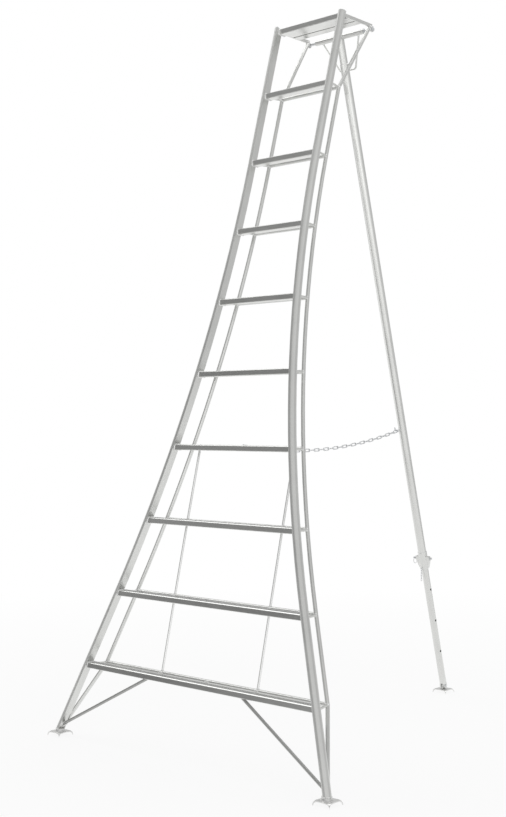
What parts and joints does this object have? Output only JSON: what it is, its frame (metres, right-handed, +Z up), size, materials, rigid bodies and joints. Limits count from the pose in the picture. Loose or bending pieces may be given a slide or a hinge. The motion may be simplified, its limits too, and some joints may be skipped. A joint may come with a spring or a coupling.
{
  "type": "orchard tripod ladder",
  "caption": "Free-standing aluminium picking ladder with curved splayed stiles, double-bar treads, a small platform and a hinged telescopic rear leg held by a chain.",
  "frame": {"origin": "on the ground, midway between the line of the front feet and the rear foot", "axes": "+Z up, +Y from the climbing side to the rear leg, +X to the right as seen by someone climbing"},
  "size_m": [1.501, 1.865, 3.0154],
  "materials": {
    "tube_aluminium": "satin",
    "ribbed_aluminium": "extruded",
    "foot_metal": "cast",
    "end_cap": "satin",
    "zinc_steel": "zinc plated"
  },
  "bodies": {
    "frame": {"stile_left": "tube_aluminium", "stile_right": "tube_aluminium", "stile_cap_left": "end_cap", "stile_cap_right": "end_cap", "foot_left": "foot_metal", "foot_right": "foot_metal", "back_tube_left": "tube_aluminium", "back_tube_right": "tube_aluminium", "tread_front_1": "ribbed_aluminium", "tread_front_2": "ribbed_aluminium", "tread_front_3": "ribbed_aluminium", "tread_front_4": "ribbed_aluminium", "tread_front_5": "ribbed_aluminium", "tread_front_6": "ribbed_aluminium", "tread_front_7": "ribbed_aluminium", "tread_front_8": "ribbed_aluminium", "tread_front_9": "ribbed_aluminium", "tread_rear_1": "tube_aluminium", "tread_rear_2": "tube_aluminium", "tread_rear_3": "tube_aluminium", "tread_rear_4": "tube_aluminium", "tread_rear_5": "tube_aluminium", "tread_rear_6": "tube_aluminium", "tread_rear_7": "tube_aluminium", "tread_rear_8": "tube_aluminium", "tread_rear_9": "tube_aluminium", "side_links_left": "tube_aluminium", "side_links_right": "tube_aluminium", "tread_ties": "tube_aluminium", "inner_rods_left": "tube_aluminium", "inner_rods_right": "tube_aluminium", "brace_left": "tube_aluminium", "brace_right": "tube_aluminium", "platform_front_bar": "ribbed_aluminium", "platform_slat_front": "ribbed_aluminium", "platform_slat_rear": "ribbed_aluminium", "platform_side_left": "tube_aluminium", "platform_side_right": "tube_aluminium", "hinge_rod": "zinc_steel", "hinge_collars": "zinc_steel", "chain_eye": "zinc_steel"},
    "rear_leg": {"hinge_sleeve": "tube_aluminium", "leg_head": "tube_aluminium", "leg_tube_upper": "tube_aluminium", "leg_yoke": "tube_aluminium", "lock_collar": "tube_aluminium", "lock_ears": "tube_aluminium", "chain_hook": "zinc_steel", "keeper": "zinc_steel"},
    "leg_extension": {"leg_guide": "tube_aluminium", "leg_tube_lower": "tube_aluminium", "leg_end_fork": "tube_aluminium", "foot_pivot_pin": "zinc_steel"},
    "rear_foot": {"foot_rear": "foot_metal"},
    "lock_pin": {"lock_pin": "zinc_steel", "lock_ring": "zinc_steel"},
    "chain_front": {"chain_links_front": "zinc_steel"},
    "chain_mid": {"chain_link_mid": "zinc_steel"},
    "chain_rear": {"chain_links_rear": "zinc_steel"}
  },
  "joints": [
    {"name": "leg_fold", "type": "hinge", "parent": "frame", "child": "rear_leg", "pos_m": [0, 0.07464, 2.984], "axis": [-1, 0, 0], "range_deg": [0, 31]},
    {"name": "leg_extend", "type": "slide", "parent": "rear_leg", "child": "leg_extension", "axis": [0, 0.2666, -0.9638], "range_m": [-0.471, 0.471]},
    {"name": "foot_tilt", "type": "hinge", "parent": "leg_extension", "child": "rear_foot", "pos_m": [0, 0.891, 0.033], "axis": [1, 0, 0], "range_deg": [-20, 20]},
    {"name": "lock_pull", "type": "slide", "parent": "rear_leg", "child": "lock_pin", "axis": [-1, 0, 0], "range_m": [0, 0.064]},
    {"name": "chain_swing", "type": "hinge", "parent": "frame", "child": "chain_front", "pos_m": [-0.033, -0.50911, 1.201], "axis": [1, 0, 0], "range_deg": [-100, 2]},
    {"name": "chain_bend_front", "type": "hinge", "parent": "chain_front", "child": "chain_mid", "pos_m": [-0.033, -0.02714, 1.1805], "axis": [1, 0, 0], "range_deg": [-2, 114]},
    {"name": "chain_bend_rear", "type": "hinge", "parent": "chain_mid", "child": "chain_rear", "pos_m": [-0.033, 0.00977, 1.18217], "axis": [1, 0, 0], "range_deg": [-2, 54]}
  ],
  "couplings": [
    {"joint": "chain_swing", "follows": "leg_fold", "ratio": -3.1613},
    {"joint": "chain_bend_front", "follows": "leg_fold", "ratio": 3.6059},
    {"joint": "chain_bend_rear", "follows": "leg_fold", "ratio": 1.6555}
  ]
}
